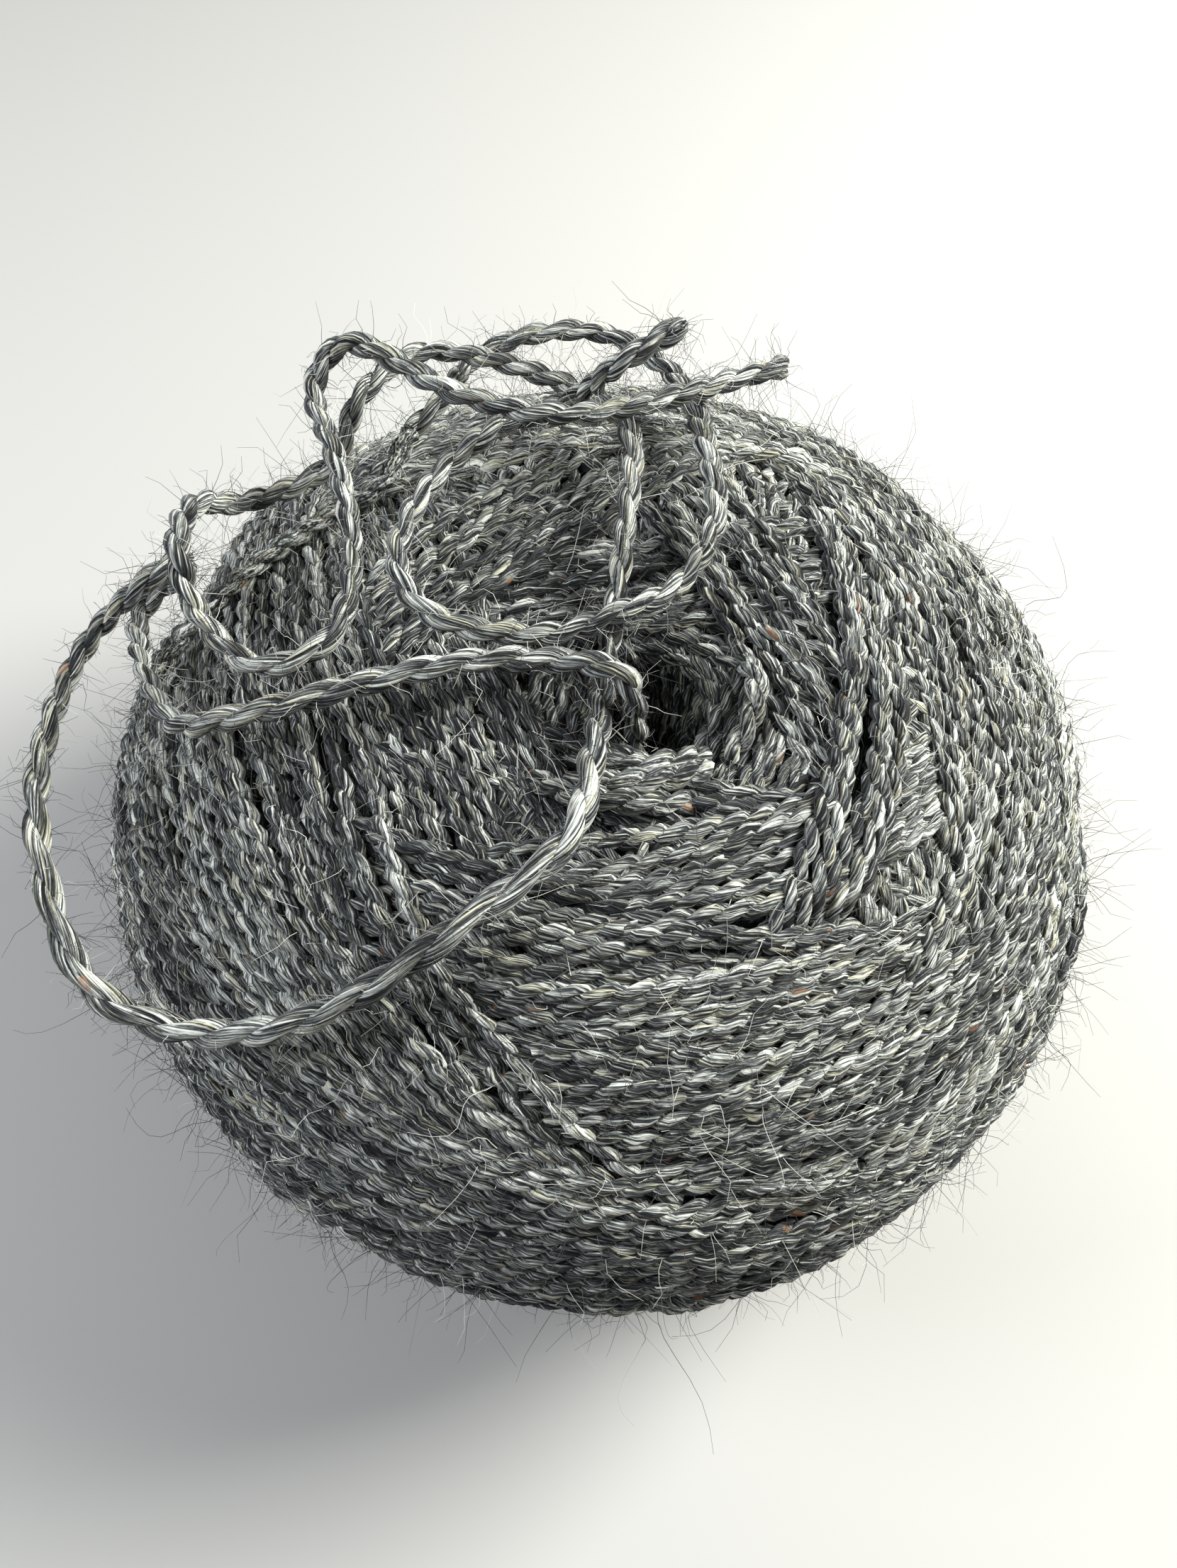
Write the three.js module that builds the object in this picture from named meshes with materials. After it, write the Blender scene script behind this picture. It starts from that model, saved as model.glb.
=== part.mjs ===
// Ball of grey alpaca yarn, wound by hand as a squat centre-pull ball, with both yarn ends lying loose on top.
// Units are millimetres, +Z is up, and the ball rests on z = 0 with its widest girth centred on the Z axis.
import * as THREE from 'three';
import { mergeVertices } from 'three/addons/utils/BufferGeometryUtils.js';

// Driving dimensions of the wound ball
const ballRadius = 53.5;
const ballHalfHeight = 37.8;
const flatCut = 1.2;
const centreHeight = ballHalfHeight - flatCut;
const flatRadius = ballRadius * Math.sqrt(1 - (centreHeight / ballHalfHeight) ** 2);

// The pull hole stands a little off the ball's axis, in the middle of a shallow dish
const hole = { x: 5, y: -3.5, dishDepth: 8, dishReach: 17, pitDepth: 24, pitReach: 6.2 };

// Where the winding leans over with the hole: fully inside the near distance from the axis and above the upper
// height, not at all outside the far distance or below the lower height
const lean = { near: 16, far: 46, low: centreHeight - 12, high: centreHeight + 8 };

// Where bands and lumps fade out: towards the flat base, and towards the hole's mouth on the upper side
const fade = { baseHeight: 7, mouthNear: 6, mouthFar: 14 };

// Yarn as it lies loose, and the facets of its tube
const yarn = { diameter: 2.4, sides: 8, stepLength: 7.2 };

// Facets of the ball: rows from the base to the bottom of the hole, and columns round it
const facets = { rows: 58, columns: 84, profileSteps: 400 };

// The last bands of winding. Each is a belt of side-by-side turns round the ball: tilt is its slope from the
// level, heading is the side where it runs highest, shift moves it off the ball's middle along its own axis,
// width is that of the belt and rise is how far it stands out.
const bands = [
  { tilt: 76, heading: 100, shift: 0.0, width: 9, rise: 1.0 },
  { tilt: 72, heading: 205, shift: 0.0, width: 9, rise: 1.2 },
  { tilt: 73, heading: 28, shift: 0.0, width: 9, rise: 1.3 },
  { tilt: 69, heading: 285, shift: 0.0, width: 10, rise: 1.5 },
  { tilt: 57, heading: 205, shift: 1.5, width: 9, rise: 1.4 },
  { tilt: 54, heading: 20, shift: -1.0, width: 10, rise: 1.6 },
  { tilt: 50, heading: 95, shift: 0.0, width: 9, rise: 1.2 },
  { tilt: 47, heading: 278, shift: 1.0, width: 10, rise: 1.6 },
  { tilt: 36, heading: 150, shift: 2.0, width: 10, rise: 1.3 },
  { tilt: 33, heading: 330, shift: -2.0, width: 10, rise: 1.5 },
  { tilt: 22, heading: 240, shift: 6.0, width: 10, rise: 1.6 },
  { tilt: 18, heading: 60, shift: -6.0, width: 10, rise: 1.4 },
  { tilt: 9, heading: 300, shift: -16.0, width: 10, rise: 1.5 },
  { tilt: 7, heading: 120, shift: 17.0, width: 10, rise: 1.4 },
];

// A hand-wound ball is never quite round: soft lumps, as share of the radius, by count round the ball
const lumps = [
  { count: 2, size: 0.010, turn: 0.6 },
  { count: 3, size: 0.006, turn: 2.1 },
  { count: 5, size: 0.004, turn: 4.0 },
];

// The end from the ball's middle comes up out of the hole, wanders over the top and ends in a cut tip
const centreTail = [
  [2.5, -5.5, 50], [3.5, -6.5, 67.5], [2, -5.5, 73.5], [-3.5, -3.5, 72.5], [-13, -4.5, 73.5], [-33, -8, 70],
  [-39, -6.5, 66.5], [-44.5, 2.5, 62.5], [-46.5, 10, 60.5], [-41, 12, 65.5], [-41, 8.5, 70.5],
  [-49.5, 3, 65], [-52.5, -9, 63], [-50.5, -20, 61.5], [-45.5, -29.5, 59], [-37, -33.5, 59],
  [-24.5, -34.5, 65], [-10.5, -28, 71.5], [-2.5, -21, 72.5], [-0.5, -12, 71], [0.5, -3, 68.5],
  [2.5, 11, 72.5], [3, 23, 73], [-1.5, 29.5, 71.5], [-17.5, 33, 73.5], [-23.5, 27, 73.5],
  [-26.5, 22, 69.5], [-34.5, 17, 69.5], [-38, 13, 74], [-38.5, 7, 75.5], [-37, 2.5, 71],
  [-30.5, -3.5, 71.5], [-24, -1.5, 73.5], [-23, 8.5, 73.5], [-25, 17.5, 75.5], [-27.5, 25.5, 76.5],
  [-24.5, 28.5, 79], [-13, 22.5, 78.5], [-3, 20.5, 78], [19, 31.5, 73],
];

// The end of the last turn leaves the ball's far left shoulder, makes two loops and ends in a cut tip
const outerTail = [
  [-19, 27, 68.5], [-15.5, 30.5, 70], [-13, 36.5, 69], [-6.5, 38, 71], [1, 39, 70], [8, 33.5, 69.5],
  [10.5, 21, 73], [11, 11.5, 73], [7, 4.5, 72.5], [2, 1.5, 73], [-3.5, -0.5, 72.5], [-10, -1, 73.5],
  [-15.5, 0.5, 74.5], [-18.5, 6, 74.5], [-16.5, 14.5, 74], [-10.5, 22.5, 73.5], [-5.5, 25.5, 73],
  [-1.5, 25, 76], [1.5, 24, 80.5], [8, 27, 83],
];

function smoothStep(from, to, value) {
  const t = THREE.MathUtils.clamp((value - from) / (to - from), 0, 1);
  return t * t * (3 - 2 * t);
}

// Depth of the dish and of the hole in it, at a distance from the hole's axis
function holeDepth(distance) {
  const dish = hole.dishDepth * Math.exp(-((distance / hole.dishReach) ** 2));
  const pit = hole.pitDepth * Math.exp(-((distance / hole.pitReach) ** 6));
  return dish + pit;
}

// Half section of the ball from the middle of its base, round the girth, to the bottom of the hole
function ballProfile() {
  const outline = [new THREE.Vector2(0, 0)];
  const start = -Math.acos(flatRadius / ballRadius);
  for (let i = 0; i <= facets.profileSteps; i += 1) {
    const latitude = THREE.MathUtils.lerp(start, Math.PI / 2, i / facets.profileSteps);
    const radius = i === facets.profileSteps ? 0 : ballRadius * Math.cos(latitude);
    const depth = latitude > 0 ? holeDepth(radius) : 0;
    const height = centreHeight + ballHalfHeight * Math.sin(latitude) - depth;
    outline.push(new THREE.Vector2(radius, Math.max(height, 0)));
  }
  return new THREE.Path(outline).getSpacedPoints(facets.rows);
}

// How far the winding stands out at a place, given as a direction from the ball's middle
function windingRise(direction) {
  let rise = 0;
  for (const band of bands) {
    const tilt = THREE.MathUtils.degToRad(band.tilt);
    const heading = THREE.MathUtils.degToRad(band.heading);
    const axis = new THREE.Vector3(
      -Math.sin(tilt) * Math.cos(heading),
      -Math.sin(tilt) * Math.sin(heading),
      Math.cos(tilt),
    );
    const offset = ballRadius * Math.asin(THREE.MathUtils.clamp(direction.dot(axis), -1, 1)) - band.shift;
    const edge = Math.abs(offset) / (band.width / 2);
    rise = Math.max(rise, band.rise * Math.exp(-(edge ** 4)));
  }
  return rise;
}

// Corners of the triangles that span an area, so not those that the section's two ends on the axis close up
function solidCorners(corners) {
  const kept = [];
  for (let i = 0; i < corners.length; i += 3) {
    const [a, b, c] = corners.slice(i, i + 3);
    if (a !== b && b !== c && c !== a) kept.push(a, b, c);
  }
  return kept;
}

function ballGeometry() {
  const geometry = new THREE.LatheGeometry(ballProfile(), facets.columns);
  geometry.rotateX(Math.PI / 2);
  geometry.deleteAttribute('normal');
  geometry.deleteAttribute('uv');
  const shell = mergeVertices(geometry);
  shell.setIndex(solidCorners(shell.getIndex().array));
  const places = shell.getAttribute('position');
  for (let i = 0; i < places.count; i += 1) {
    const place = new THREE.Vector3().fromBufferAttribute(places, i);
    const distance = Math.hypot(place.x, place.y);
    const angle = Math.atan2(place.y, place.x);
    const sway = smoothStep(lean.low, lean.high, place.z) * smoothStep(lean.far, lean.near, distance);
    const offMouth = place.z < centreHeight ? 1 : smoothStep(fade.mouthNear, fade.mouthFar, distance);
    const raised = smoothStep(0, fade.baseHeight, place.z) * offMouth;
    const direction = new THREE.Vector3(
      place.x / ballRadius,
      place.y / ballRadius,
      (place.z - centreHeight) / ballHalfHeight,
    ).normalize();
    let lump = 0;
    for (const { count, size, turn } of lumps) {
      lump += size * Math.cos(count * angle + turn + direction.z);
    }
    const swell = raised * (windingRise(direction) + lump * distance);
    place.addScaledVector(direction, swell);
    places.setXYZ(i, place.x + sway * hole.x, place.y + sway * hole.y, place.z);
  }
  shell.computeBoundingBox();
  const middle = shell.boundingBox.getCenter(new THREE.Vector3());
  return shell.translate(-middle.x, -middle.y, 0);
}

// A length of yarn along a route, closed at both ends
function yarnGeometry(route) {
  const path = new THREE.CatmullRomCurve3(route.map(([x, y, z]) => new THREE.Vector3(x, y, z)), false, 'centripetal');
  const section = new THREE.Shape();
  for (let side = 0; side < yarn.sides; side += 1) {
    const angle = (side / yarn.sides) * Math.PI * 2;
    const x = (yarn.diameter / 2) * Math.cos(angle);
    const y = (yarn.diameter / 2) * Math.sin(angle);
    if (side === 0) section.moveTo(x, y);
    else section.lineTo(x, y);
  }
  section.closePath();
  const steps = Math.round(path.getLength() / yarn.stepLength);
  return new THREE.ExtrudeGeometry(section, { steps, extrudePath: path, bevelEnabled: false });
}

function yarnMesh(name, geometry, colour) {
  const material = new THREE.MeshStandardMaterial({ color: colour, roughness: 0.95, metalness: 0 });
  const mesh = new THREE.Mesh(geometry, material);
  mesh.name = name;
  return mesh;
}

const yarnBall = new THREE.Group();
yarnBall.add(yarnMesh('ball', ballGeometry(), '#7d7f80'));
yarnBall.add(yarnMesh('centre_tail', yarnGeometry(centreTail), '#8f918f'));
yarnBall.add(yarnMesh('outer_tail', yarnGeometry(outerTail), '#96978f'));

export default yarnBall;
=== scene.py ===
import math

import bpy
import numpy as np
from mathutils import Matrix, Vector


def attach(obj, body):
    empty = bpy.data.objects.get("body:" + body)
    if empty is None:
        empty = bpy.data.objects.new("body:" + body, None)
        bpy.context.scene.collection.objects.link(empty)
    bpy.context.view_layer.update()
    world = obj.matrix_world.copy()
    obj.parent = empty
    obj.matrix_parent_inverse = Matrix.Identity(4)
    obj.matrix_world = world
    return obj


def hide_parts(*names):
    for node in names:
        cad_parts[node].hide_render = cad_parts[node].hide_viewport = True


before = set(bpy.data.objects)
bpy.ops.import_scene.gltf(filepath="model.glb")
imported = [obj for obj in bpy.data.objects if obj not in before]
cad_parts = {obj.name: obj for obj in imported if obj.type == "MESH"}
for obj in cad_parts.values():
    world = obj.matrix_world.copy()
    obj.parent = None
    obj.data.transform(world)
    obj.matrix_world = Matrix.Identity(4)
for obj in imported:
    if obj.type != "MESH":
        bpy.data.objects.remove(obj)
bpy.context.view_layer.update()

mm = 0.001
random = np.random.default_rng(20)
phaseRoom = 6  # radians from which a wave's phase is drawn
noiseRoom = 500  # millimetres in the noise from which each strand draws its place


# Small helpers

def linearColour(hexText):
    channels = [int(hexText[i:i + 2], 16) / 255 for i in (1, 3, 5)]
    return [c / 12.92 if c <= 0.04045 else ((c + 0.055) / 1.055) ** 2.4 for c in channels] + [1.0]


def addNode(tree, kind, inputs=None, **settings):
    # inputs go by socket identifier or by number: a plain value, another node's output, or a node,
    # which stands for its first output in use
    node = tree.nodes.new(kind)
    for name, value in settings.items():
        setattr(node, name, value)
    for key, value in (inputs or {}).items():
        if isinstance(key, int):
            socket = node.inputs[key]
        else:
            socket = next(s for s in node.inputs if s.identifier == key)
        if isinstance(value, bpy.types.Node):
            value = next(s for s in value.outputs if s.enabled)
        if isinstance(value, bpy.types.NodeSocket):
            tree.links.new(value, socket)
        else:
            socket.default_value = value
    return node


def newTree(name, sockets):
    # a Geometry Nodes tree whose named inputs are the sockets given, after its geometry
    tree = bpy.data.node_groups.new(name, "GeometryNodeTree")
    tree.interface.new_socket("Geometry", in_out="INPUT", socket_type="NodeSocketGeometry")
    tree.interface.new_socket("Geometry", in_out="OUTPUT", socket_type="NodeSocketGeometry")
    for label, kind in sockets.items():
        tree.interface.new_socket(label, in_out="INPUT", socket_type="NodeSocket" + kind)
    given = tree.nodes.new("NodeGroupInput").outputs
    return tree, given


def finishTree(tree, geometry, material):
    coloured = addNode(tree, "GeometryNodeSetMaterial", {"Geometry": geometry, "Material": material})
    real = addNode(tree, "GeometryNodeRealizeInstances", {"Geometry": coloured})
    last = tree.nodes.new("NodeGroupOutput")
    tree.links.new(real.outputs[0], last.inputs[0])


def grow(name, mesh, tree, values):
    # puts the tree on the mesh, reads the result back as a plain mesh, and takes the tree off again
    piece = bpy.data.objects.new(name, mesh)
    bpy.context.scene.collection.objects.link(piece)
    modifier = piece.modifiers.new("grow", "NODES")
    modifier.node_group = tree
    for item in tree.interface.items_tree:
        if item.in_out == "INPUT" and item.name in values:
            modifier[item.identifier] = values[item.name]
    shaped = piece.evaluated_get(bpy.context.evaluated_depsgraph_get())
    plain = bpy.data.meshes.new_from_object(shaped, preserve_all_data_layers=True,
                                            depsgraph=bpy.context.evaluated_depsgraph_get())
    piece.modifiers.clear()
    piece.data = plain
    plain.name = name
    return piece


def smoothStep(start, end, value):
    t = np.clip((value - start) / (end - start), 0, 1)
    return t * t * (3 - 2 * t)


def unit(vectors):
    return vectors / np.linalg.norm(vectors, axis=-1, keepdims=True)


def triangleCount(mesh):
    return sum(len(face.vertices) - 2 for face in mesh.polygons)


# Camera: the photograph's, close by and steeply from above

cameraView = {"aim": (-0.9, 2.8, 37.0), "elevation": 62, "distance": 161.6, "focalPixels": 2000,
              "imageHeight": 2212, "sensor": 36, "nearest": 5}

camera = bpy.data.cameras.new("camera")
camera.sensor_width = cameraView["sensor"]
camera.lens = cameraView["focalPixels"] / cameraView["imageHeight"] * cameraView["sensor"]
camera.clip_start = cameraView["nearest"] * mm
cameraObject = bpy.data.objects.new("camera", camera)
bpy.context.scene.collection.objects.link(cameraObject)
rise = math.radians(cameraView["elevation"])
away = Vector((0, -math.cos(rise), math.sin(rise)))
cameraObject.location = (Vector(cameraView["aim"]) + away * cameraView["distance"]) * mm
cameraObject.rotation_euler = (-away).to_track_quat("-Z", "Y").to_euler()
bpy.context.scene.camera = cameraObject
print("camera set at", cameraView["elevation"], "degrees")


# Materials

# Alpaca two-ply yarn, carded from dark, grey and white fleece and spun: a matt, heathered thread
# whose single fibres read as fine streaks along it, with a soft sheen at its edges. A real fibre is
# about 0.03 mm thick, too fine to show, so the finest streak is drawn as wide as a small lock of them.
yarnLook = {
    "streaks": {"fine": {"width": 0.17, "length": 5.0, "detail": 3.0},
                "patch": {"width": 0.7, "length": 12.0, "detail": 1.0},
                "warm": {"width": 0.5, "length": 9.0, "detail": 1.0},
                "fleck": {"width": 1.3, "length": 2.6, "detail": 0.0}},
    "patchShare": 0.31, "bumpHeight": 0.34, "bumpStrength": 0.9, "roughness": 0.88, "specular": 0.2,
    "sheen": 0.12, "sheenRoughness": 0.5,
    "warmFrom": 0.52, "warmTo": 0.64, "warmShare": 0.6,
    "fleckFrom": 0.83, "fleckTo": 0.85, "fleckShare": 0.55, "fleckColour": "#8f6544"}


def alpacaYarn(name, tones, beige, look=yarnLook):
    material = bpy.data.materials.new(name)
    material.use_nodes = True
    tree = material.node_tree
    shader = tree.nodes["Principled BSDF"]
    fibre = addNode(tree, "ShaderNodeAttribute", attribute_name="fibre").outputs["Vector"]
    tone = addNode(tree, "ShaderNodeAttribute", attribute_name="tone").outputs["Fac"]
    streaks = {}
    for label, streak in look["streaks"].items():
        across, along = 1 / streak["width"], 1 / streak["length"]
        scaled = addNode(tree, "ShaderNodeVectorMath", {0: fibre, 1: (across, across, along)},
                         operation="MULTIPLY")
        streaks[label] = addNode(tree, "ShaderNodeTexNoise", {
            "Vector": scaled, "Scale": 1.0, "Detail": streak["detail"]})
    blend = addNode(tree, "ShaderNodeMix", {"Factor_Float": look["patchShare"], "A_Float": streaks["fine"],
                                            "B_Float": streaks["patch"]}, data_type="FLOAT")
    # the tone attribute moves the colour along the ramp: each strand's own tone, with painted shade added
    # where the winding is shaded
    shifted = addNode(tree, "ShaderNodeMath", {0: blend, 1: tone}, operation="ADD")
    ramp = addNode(tree, "ShaderNodeValToRGB", {0: shifted})
    stops = ramp.color_ramp.elements
    stops[0].position, stops[1].position = tones[0][0], tones[-1][0]
    stops[0].color, stops[1].color = linearColour(tones[0][1]), linearColour(tones[-1][1])
    for place, colour in tones[1:-1]:
        stops.new(place).color = linearColour(colour)
    warmth = addNode(tree, "ShaderNodeMapRange", {
        "Value": streaks["warm"], 1: look["warmFrom"], 2: look["warmTo"], 3: 0.0, 4: look["warmShare"]})
    tint = addNode(tree, "ShaderNodeMix", {
        "Factor_Float": warmth, "A_Color": ramp, "B_Color": linearColour(beige)},
        data_type="RGBA", blend_type="MULTIPLY")
    # a few flecks of rust-brown fleece
    fleck = addNode(tree, "ShaderNodeMapRange", {
        "Value": streaks["fleck"], 1: look["fleckFrom"], 2: look["fleckTo"], 3: 0.0, 4: look["fleckShare"]})
    flecked = addNode(tree, "ShaderNodeMix", {
        "Factor_Float": fleck, "A_Color": tint, "B_Color": linearColour(look["fleckColour"])},
        data_type="RGBA")
    tree.links.new(flecked.outputs[2], shader.inputs["Base Color"])
    bump = addNode(tree, "ShaderNodeBump", {
        "Height": streaks["fine"], "Distance": look["bumpHeight"] * mm, "Strength": look["bumpStrength"]})
    tree.links.new(bump.outputs[0], shader.inputs["Normal"])
    shader.inputs["Roughness"].default_value = look["roughness"]
    shader.inputs["Sheen Weight"].default_value = look["sheen"]
    shader.inputs["Sheen Roughness"].default_value = look["sheenRoughness"]
    shader.inputs["Specular IOR Level"].default_value = look["specular"]
    return material


def plainMaterial(name, colour, roughness):
    material = bpy.data.materials.new(name)
    material.use_nodes = True
    shader = material.node_tree.nodes["Principled BSDF"]
    shader.inputs["Base Color"].default_value = linearColour(colour)
    shader.inputs["Roughness"].default_value = roughness
    return material


heather = [(0.395, "#0b0c0e"), (0.46, "#37393b"), (0.513, "#737573"), (0.562, "#abada7"), (0.625, "#e6e8df")]
beigeFleece = "#d6cba6"
woundYarn = alpacaYarn("alpaca yarn wound", heather, beigeFleece)
looseYarn = alpacaYarn("alpaca yarn loose", heather, beigeFleece)

# Single alpaca fibres that stand away from the yarn: smooth, thin, mostly dark and a few pale
hairLook = {"dark": "#232325", "darkUpTo": 0.66, "pale": "#cfccc4", "paleFrom": 0.84,
            "roughness": 0.55, "sheen": 0.1}
fibreHair = bpy.data.materials.new("alpaca fibre loose")
fibreHair.use_nodes = True
hairShader = fibreHair.node_tree.nodes["Principled BSDF"]
hairTone = addNode(fibreHair.node_tree, "ShaderNodeAttribute", attribute_name="hairTone").outputs["Fac"]
hairRamp = addNode(fibreHair.node_tree, "ShaderNodeValToRGB", {0: hairTone})
darkEnd, paleEnd = hairRamp.color_ramp.elements
darkEnd.position, paleEnd.position = hairLook["darkUpTo"], hairLook["paleFrom"]
darkEnd.color, paleEnd.color = linearColour(hairLook["dark"]), linearColour(hairLook["pale"])
fibreHair.node_tree.links.new(hairRamp.outputs[0], hairShader.inputs["Base Color"])
hairShader.inputs["Roughness"].default_value = hairLook["roughness"]
hairShader.inputs["Sheen Weight"].default_value = hairLook["sheen"]


# Yarn: two plies laid round each other, left-handed, on any path of edges

# Millimetres in the noise between the two plies, so that their streaks differ
plyApart = (31.0, 17.0, 53.0)

looseMake = {"plyRadius": 0.72, "plyCentre": 0.45, "twistLength": 6.6, "openTwistLength": 11.5, "sides": 10}
woundMake = {"plyRadius": 0.66, "plyCentre": 0.44, "twistLength": 5.5, "twistSpread": (0.88, 1.12),
             "sides": 5, "unevenness": 0.16, "unevenLength": 23, "thickest": 1.17}


def yarnTree():
    tree, given = newTree("two-ply yarn", {
        "Ply radius": "Float", "Ply centre": "Float", "Sides": "Int", "Material": "Material"})
    kinds = {"along": "FLOAT", "twist": "FLOAT", "thickness": "FLOAT", "strandShift": "FLOAT_VECTOR",
             "plySide": "FLOAT_VECTOR", "plyUp": "FLOAT_VECTOR", "plyMiddle": "FLOAT_VECTOR",
             "plyNumber": "FLOAT"}
    read = {name: addNode(tree, "GeometryNodeInputNamedAttribute", {"Name": name}, data_type=kind)
            for name, kind in kinds.items()}
    paths = addNode(tree, "GeometryNodeMeshToCurve", {"Mesh": given["Geometry"]})
    plies = addNode(tree, "GeometryNodeDuplicateElements", {"Geometry": paths, "Amount": 2}, domain="SPLINE")
    plyNumber = plies.outputs["Duplicate Index"]
    normal = addNode(tree, "GeometryNodeInputNormal")
    tangent = addNode(tree, "GeometryNodeInputTangent")
    across = addNode(tree, "ShaderNodeVectorMath", {0: tangent, 1: normal}, operation="CROSS_PRODUCT")
    halfTurn = addNode(tree, "ShaderNodeMath", {0: plyNumber, 1: math.pi}, operation="MULTIPLY")
    phase = addNode(tree, "ShaderNodeMath", {0: halfTurn, 1: read["twist"]}, operation="SUBTRACT")
    outward = addNode(tree, "ShaderNodeVectorRotate", {"Vector": normal, "Axis": tangent, "Angle": phase},
                      rotation_type="AXIS_ANGLE")

    # The singles are spun the other way, so the fibres lie nearly along the yarn
    backShare = addNode(tree, "ShaderNodeMath", {0: given["Ply centre"], 1: given["Ply radius"]},
                        operation="DIVIDE")
    backTurn = addNode(tree, "ShaderNodeMath", {0: read["twist"], 1: backShare}, operation="MULTIPLY")
    side = addNode(tree, "ShaderNodeVectorRotate", {"Vector": normal, "Axis": tangent, "Angle": backTurn},
                   rotation_type="AXIS_ANGLE")
    up = addNode(tree, "ShaderNodeVectorRotate", {"Vector": across, "Axis": tangent, "Angle": backTurn},
                 rotation_type="AXIS_ANGLE")
    marked = plies
    for name, value in {"plySide": side, "plyUp": up, "plyNumber": plyNumber}.items():
        marked = addNode(tree, "GeometryNodeStoreNamedAttribute", {
            "Geometry": marked, "Name": name, "Value": value}, data_type=kinds[name], domain="POINT")
    thick = addNode(tree, "ShaderNodeMath", {0: given["Ply centre"], 1: read["thickness"]},
                    operation="MULTIPLY")
    reach = addNode(tree, "ShaderNodeMath", {0: thick, 1: mm}, operation="MULTIPLY")
    offset = addNode(tree, "ShaderNodeVectorMath", {0: outward, "Scale": reach}, operation="SCALE")
    moved = addNode(tree, "GeometryNodeSetPosition", {"Geometry": marked, "Offset": offset})
    place = addNode(tree, "GeometryNodeInputPosition")
    marked = addNode(tree, "GeometryNodeStoreNamedAttribute", {
        "Geometry": moved, "Name": "plyMiddle", "Value": place}, data_type="FLOAT_VECTOR", domain="POINT")
    radius = addNode(tree, "ShaderNodeMath", {0: given["Ply radius"], 1: mm}, operation="MULTIPLY")
    ring = addNode(tree, "GeometryNodeCurvePrimitiveCircle", {"Resolution": given["Sides"], "Radius": radius})
    tube = addNode(tree, "GeometryNodeCurveToMesh", {"Curve": marked, "Profile Curve": ring,
                                                     "Scale": read["thickness"], "Fill Caps": True})

    # Where on the fibres each point is, in millimetres: across the ply two ways, and along it
    fromMiddle = addNode(tree, "ShaderNodeVectorMath", {0: place, 1: read["plyMiddle"]},
                         operation="SUBTRACT")
    inSize = addNode(tree, "ShaderNodeVectorMath", {0: fromMiddle, "Scale": 1 / mm}, operation="SCALE")
    sideways = addNode(tree, "ShaderNodeVectorMath", {0: inSize, 1: read["plySide"]},
                       operation="DOT_PRODUCT")
    upward = addNode(tree, "ShaderNodeVectorMath", {0: inSize, 1: read["plyUp"]}, operation="DOT_PRODUCT")
    parted = addNode(tree, "ShaderNodeCombineXYZ", {0: sideways, 1: upward, 2: read["along"]})
    plyShift = addNode(tree, "ShaderNodeVectorMath", {0: plyApart, "Scale": read["plyNumber"]},
                       operation="SCALE")
    strandShift = addNode(tree, "ShaderNodeVectorMath", {0: read["strandShift"], 1: plyShift},
                          operation="ADD")
    fibrePlace = addNode(tree, "ShaderNodeVectorMath", {0: parted, 1: strandShift}, operation="ADD")
    marked = addNode(tree, "GeometryNodeStoreNamedAttribute", {
        "Geometry": tube, "Name": "fibre", "Value": fibrePlace}, data_type="FLOAT_VECTOR", domain="POINT")
    for name in kinds:
        marked = addNode(tree, "GeometryNodeRemoveAttribute", {"Geometry": marked, "Name": name})
    smooth = addNode(tree, "GeometryNodeSetShadeSmooth", {"Geometry": marked})
    finishTree(tree, smooth, given["Material"])
    return tree


twoPly = yarnTree()


# Painted shade: the yarn's colour is drawn a little darker in the dish round the pull hole, where the winding
# shades itself, and darker low down, in the shade under the ball
paintedShade = {"dish": 0.042, "dishAt": (-3.0, -6.0), "dishReach": 27, "dishBelow": (69, 72.5),
           "under": 0.105, "underBelow": (12, 42)}


# the painted shade at each point, as a shift of its tone towards dark
def paintedShadeAt(points):
    fromDish = np.hypot(points[:, 0] - paintedShade["dishAt"][0], points[:, 1] - paintedShade["dishAt"][1])
    low, high = paintedShade["dishBelow"]
    inDish = np.exp(-(fromDish / paintedShade["dishReach"]) ** 4) * smoothStep(high, low, points[:, 2])
    low, high = paintedShade["underBelow"]
    under = smoothStep(high, low, points[:, 2])
    return -paintedShade["dish"] * inDish - paintedShade["under"] * under


def pathMesh(name, runs):
    # runs are lengths of one strand: points, millimetres along it, twist in radians, thickness,
    # noise shift and tone
    mesh = bpy.data.meshes.new(name)
    sizes = [len(run["points"]) for run in runs]
    starts = np.concatenate([[0], np.cumsum(sizes)])
    edges = np.concatenate([np.column_stack([np.arange(a, b - 1), np.arange(a + 1, b)])
                            for a, b in zip(starts[:-1], starts[1:])])
    points = np.concatenate([run["points"] for run in runs]) * mm
    mesh.vertices.add(len(points))
    mesh.vertices.foreach_set("co", points.ravel())
    mesh.edges.add(len(edges))
    mesh.edges.foreach_set("vertices", edges.ravel())
    for label in ("along", "twist", "thickness"):
        layer = mesh.attributes.new(label, "FLOAT", "POINT")
        layer.data.foreach_set("value", np.concatenate([run[label] for run in runs]))
    shift = mesh.attributes.new("strandShift", "FLOAT_VECTOR", "POINT")
    shift.data.foreach_set("vector", np.concatenate(
        [np.tile(run["shift"], (size, 1)) for run, size in zip(runs, sizes)]).ravel())
    tone = mesh.attributes.new("tone", "FLOAT", "POINT")
    # each point's tone is its strand's own tone plus the painted shade
    tone.data.foreach_set("value", np.concatenate([run["tone"] + paintedShadeAt(run["points"]) for run in runs]))
    mesh.update()
    return mesh


def spinYarn(name, runs, make, material):
    piece = grow(name, pathMesh(name, runs), twoPly, {
        "Ply radius": make["plyRadius"], "Ply centre": make["plyCentre"],
        "Sides": make["sides"], "Material": material})
    print(name, "has", triangleCount(piece.data), "triangles")
    return piece


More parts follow.
